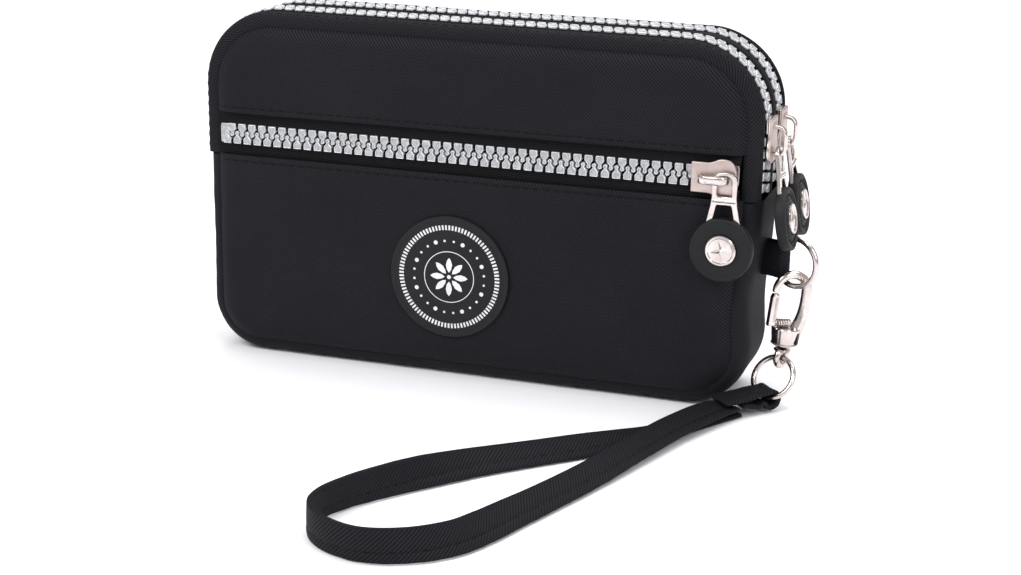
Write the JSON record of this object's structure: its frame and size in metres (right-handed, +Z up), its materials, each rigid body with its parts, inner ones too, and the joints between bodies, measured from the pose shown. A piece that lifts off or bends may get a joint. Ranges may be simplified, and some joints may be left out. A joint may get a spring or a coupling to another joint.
{
  "type": "zippered pouch",
  "caption": "Slim zippered fabric pouch with a front pocket, compartments under zips over its top, ring pulls, a side tab with rings and a snap hook, and a wrist strap.",
  "frame": {"origin": "middle of the flat underside that the pouch stands on", "axes": "+X along the width towards the side tab, -Y out of the front pocket face, +Z up towards the main zips"},
  "size_m": [0.1816, 0.1642, 0.103],
  "materials": {
    "shell_nylon": "matte twill",
    "lining_cloth": "matte",
    "zip_tape": "matte",
    "zip_teeth": "metallised",
    "slider_metal": "satin nickel",
    "hardware_metal": "polished nickel",
    "puck_rubber": "matte",
    "badge_rubber": "matte",
    "strap_webbing": "matte twill"
  },
  "bodies": {
    "pouch": {"front_panel_upper": "shell_nylon", "front_panel_lower": "shell_nylon", "back_panel": "shell_nylon", "lower_gusset": "shell_nylon", "front_zip_band": "shell_nylon", "middle_zip_band": "shell_nylon", "rear_zip_band": "shell_nylon", "front_pocket_lining": "lining_cloth", "front_compartment_lining": "lining_cloth", "centre_divider": "lining_cloth", "rear_compartment_lining": "lining_cloth", "pocket_zip_tape_upper": "zip_tape", "pocket_zip_tape_lower": "zip_tape", "pocket_zip_teeth_upper": "zip_teeth", "pocket_zip_teeth_lower": "zip_teeth", "pocket_zip_stop": "zip_teeth", "front_zip_tape_front": "zip_tape", "front_zip_tape_rear": "zip_tape", "front_zip_teeth_front": "zip_teeth", "front_zip_teeth_rear": "zip_teeth", "front_zip_stop": "zip_teeth", "rear_zip_tape_front": "zip_tape", "rear_zip_tape_rear": "zip_tape", "rear_zip_teeth_front": "zip_teeth", "rear_zip_teeth_rear": "zip_teeth", "rear_zip_stop": "zip_teeth", "badge_patch": "badge_rubber", "side_tab": "shell_nylon", "wrist_strap": "strap_webbing"},
    "pocket_slider": {"pocket_slider": "slider_metal"},
    "pocket_pull": {"pocket_pull_link": "hardware_metal", "pocket_pull_puck": "puck_rubber", "pocket_pull_cap": "hardware_metal"},
    "front_slider": {"front_slider": "slider_metal"},
    "front_pull": {"front_pull_link": "hardware_metal", "front_pull_puck": "puck_rubber", "front_pull_cap": "hardware_metal"},
    "rear_slider": {"rear_slider": "slider_metal"},
    "rear_pull": {"rear_pull_link": "hardware_metal", "rear_pull_puck": "puck_rubber", "rear_pull_cap": "hardware_metal"},
    "tab_ring": {"tab_ring": "hardware_metal"},
    "swivel": {"hook_swivel": "hardware_metal"},
    "hook": {"hook_body": "hardware_metal", "hook_gate_spring": "hardware_metal"},
    "gate": {"hook_gate": "hardware_metal"},
    "strap_ring": {"strap_ring": "hardware_metal", "strap_end_fold": "strap_webbing"}
  },
  "joints": [
    {"name": "pocket_slider_slide", "type": "slide", "parent": "pouch", "child": "pocket_slider", "axis": [1, 0, 0], "range_m": [-0.138, 0], "deforming": ["pocket_zip_tape_upper", "pocket_zip_tape_lower", "pocket_zip_teeth_upper", "pocket_zip_teeth_lower"]},
    {"name": "pocket_pull_hinge", "type": "hinge", "parent": "pocket_slider", "child": "pocket_pull", "pos_m": [0.0744, -0.0208, 0.067], "axis": [0, -1, 0], "range_deg": [-35, 90]},
    {"name": "front_slider_slide", "type": "slide", "parent": "pouch", "child": "front_slider", "axis": [0, 0, 1], "range_m": [0, 0.004], "deforming": ["front_zip_tape_front", "front_zip_tape_rear", "front_zip_teeth_front", "front_zip_teeth_rear"]},
    {"name": "front_pull_hinge", "type": "hinge", "parent": "front_slider", "child": "front_pull", "pos_m": [0.0858, -0.0072, 0.07455], "axis": [0, -1, 0], "range_deg": [0, 160]},
    {"name": "rear_slider_slide", "type": "slide", "parent": "pouch", "child": "rear_slider", "axis": [0, 0, 1], "range_m": [0, 0.004], "deforming": ["rear_zip_tape_front", "rear_zip_tape_rear", "rear_zip_teeth_front", "rear_zip_teeth_rear"]},
    {"name": "rear_pull_hinge", "type": "hinge", "parent": "rear_slider", "child": "rear_pull", "pos_m": [0.0858, 0.0072, 0.07455], "axis": [0, -1, 0], "range_deg": [0, 160]},
    {"name": "tab_ring_hinge", "type": "hinge", "parent": "pouch", "child": "tab_ring", "pos_m": [0.0851, 0, 0.0412], "axis": [0, 0, 1], "range_deg": [-1, 2]},
    {"name": "swivel_hang", "type": "hinge", "parent": "pouch", "child": "swivel", "pos_m": [0.09138, -0.0026, 0.0344], "axis": [0.9239, -0.3827, 0], "range_deg": [-2, 3], "deforming": ["wrist_strap"]},
    {"name": "hook_turn", "type": "hinge", "parent": "swivel", "child": "hook", "pos_m": [0.08962, -0.00423, 0.01738], "axis": [0.0856, 0.06, 0.9945], "range_deg": [-6, 6]},
    {"name": "gate_hinge", "type": "hinge", "parent": "hook", "child": "gate", "pos_m": [0.08653, -0.00639, 0.02361], "axis": [-0.5736, 0.8192, 0], "range_deg": [0, 25], "stiffness_Nm_per_rad": 0.005, "springref_deg": -11.46, "deforming": ["hook_gate_spring"]},
    {"name": "strap_ring_swing", "type": "hinge", "parent": "swivel", "child": "strap_ring", "pos_m": [0.0893, -0.00445, 0.0137], "axis": [0.9272, -0.3746, 0], "range_deg": [-2, 3]}
  ]
}
